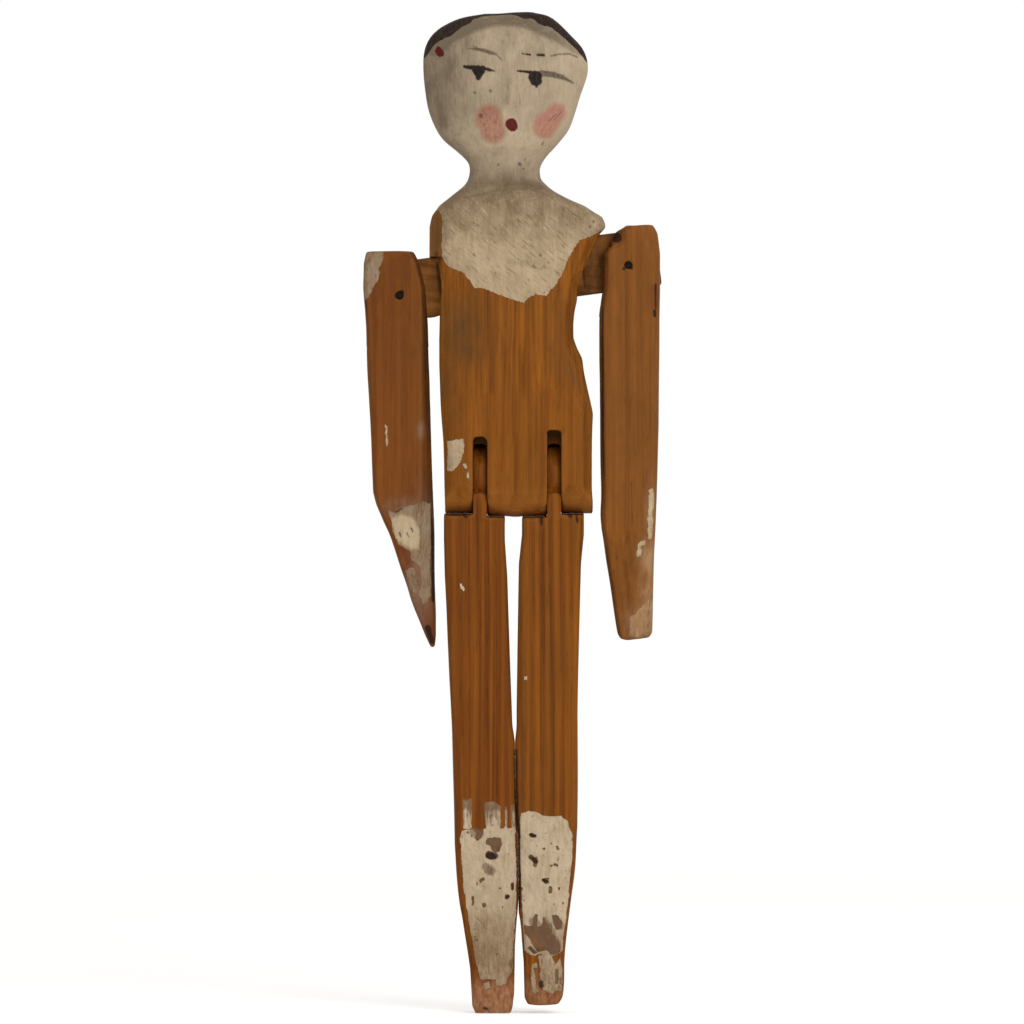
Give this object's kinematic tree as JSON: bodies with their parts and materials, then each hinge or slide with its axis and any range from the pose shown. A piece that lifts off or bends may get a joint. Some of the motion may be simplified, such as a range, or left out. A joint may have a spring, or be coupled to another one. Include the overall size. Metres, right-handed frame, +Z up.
{
  "type": "peg wooden doll",
  "caption": "Small jointed peg wooden doll with a painted face, arms that turn on a shoulder bar and swing outwards, and legs that swing at the hips.",
  "frame": {"origin": "on the ground under the middle of the standing doll: midway between the outer sides of the arms, midway between chest and back, at the height of the left sole", "axes": "+Z up along the body to the crown, -Y the way the face looks, +X to the right of someone who faces the doll"},
  "size_m": [0.0742, 0.02, 0.2497],
  "materials": {
    "torso_paint": "softwood, cream paint on head and chest, worn, bare below",
    "bar_wood": "bare softwood, darkened with age",
    "arm_wood": "bare softwood, rubbed, with worn cream paint on the hands",
    "leg_wood": "bare softwood with strong grain, worn cream stockings, reddish feet",
    "peg_wood": "bare wood, dark end grain"
  },
  "bodies": {
    "trunk": {"torso": "torso_paint", "hip_pin_left": "peg_wood", "hip_pin_right": "peg_wood"},
    "bar": {"shoulder_bar": "bar_wood"},
    "left_arm": {"arm_left": "arm_wood", "arm_pin_left": "peg_wood"},
    "right_arm": {"arm_right": "arm_wood", "arm_pin_right": "peg_wood"},
    "left_leg": {"leg_left": "leg_wood"},
    "right_leg": {"leg_right": "leg_wood"}
  },
  "joints": [
    {"name": "shoulder_turn", "type": "hinge", "parent": "trunk", "child": "bar", "pos_m": [0, 0, 0.184], "axis": [-0.9912, 0, -0.1323], "range_deg": [-90, 90]},
    {"name": "arm_left_swing", "type": "hinge", "parent": "bar", "child": "left_arm", "pos_m": [-0.0279, 0, 0.17898], "axis": [0, 1, 0], "range_deg": [-1.5, 30]},
    {"name": "arm_right_swing", "type": "hinge", "parent": "bar", "child": "right_arm", "pos_m": [0.0291, 0, 0.18658], "axis": [0, -1, 0], "range_deg": [-1.5, 30]},
    {"name": "leg_left_swing", "type": "hinge", "parent": "trunk", "child": "left_leg", "pos_m": [0, 0.00075, 0.13425], "axis": [-1, 0, 0], "range_deg": [-30, 90]},
    {"name": "leg_right_swing", "type": "hinge", "parent": "trunk", "child": "right_leg", "pos_m": [0, 0.00075, 0.13425], "axis": [-1, 0, 0], "range_deg": [-30, 90]}
  ]
}
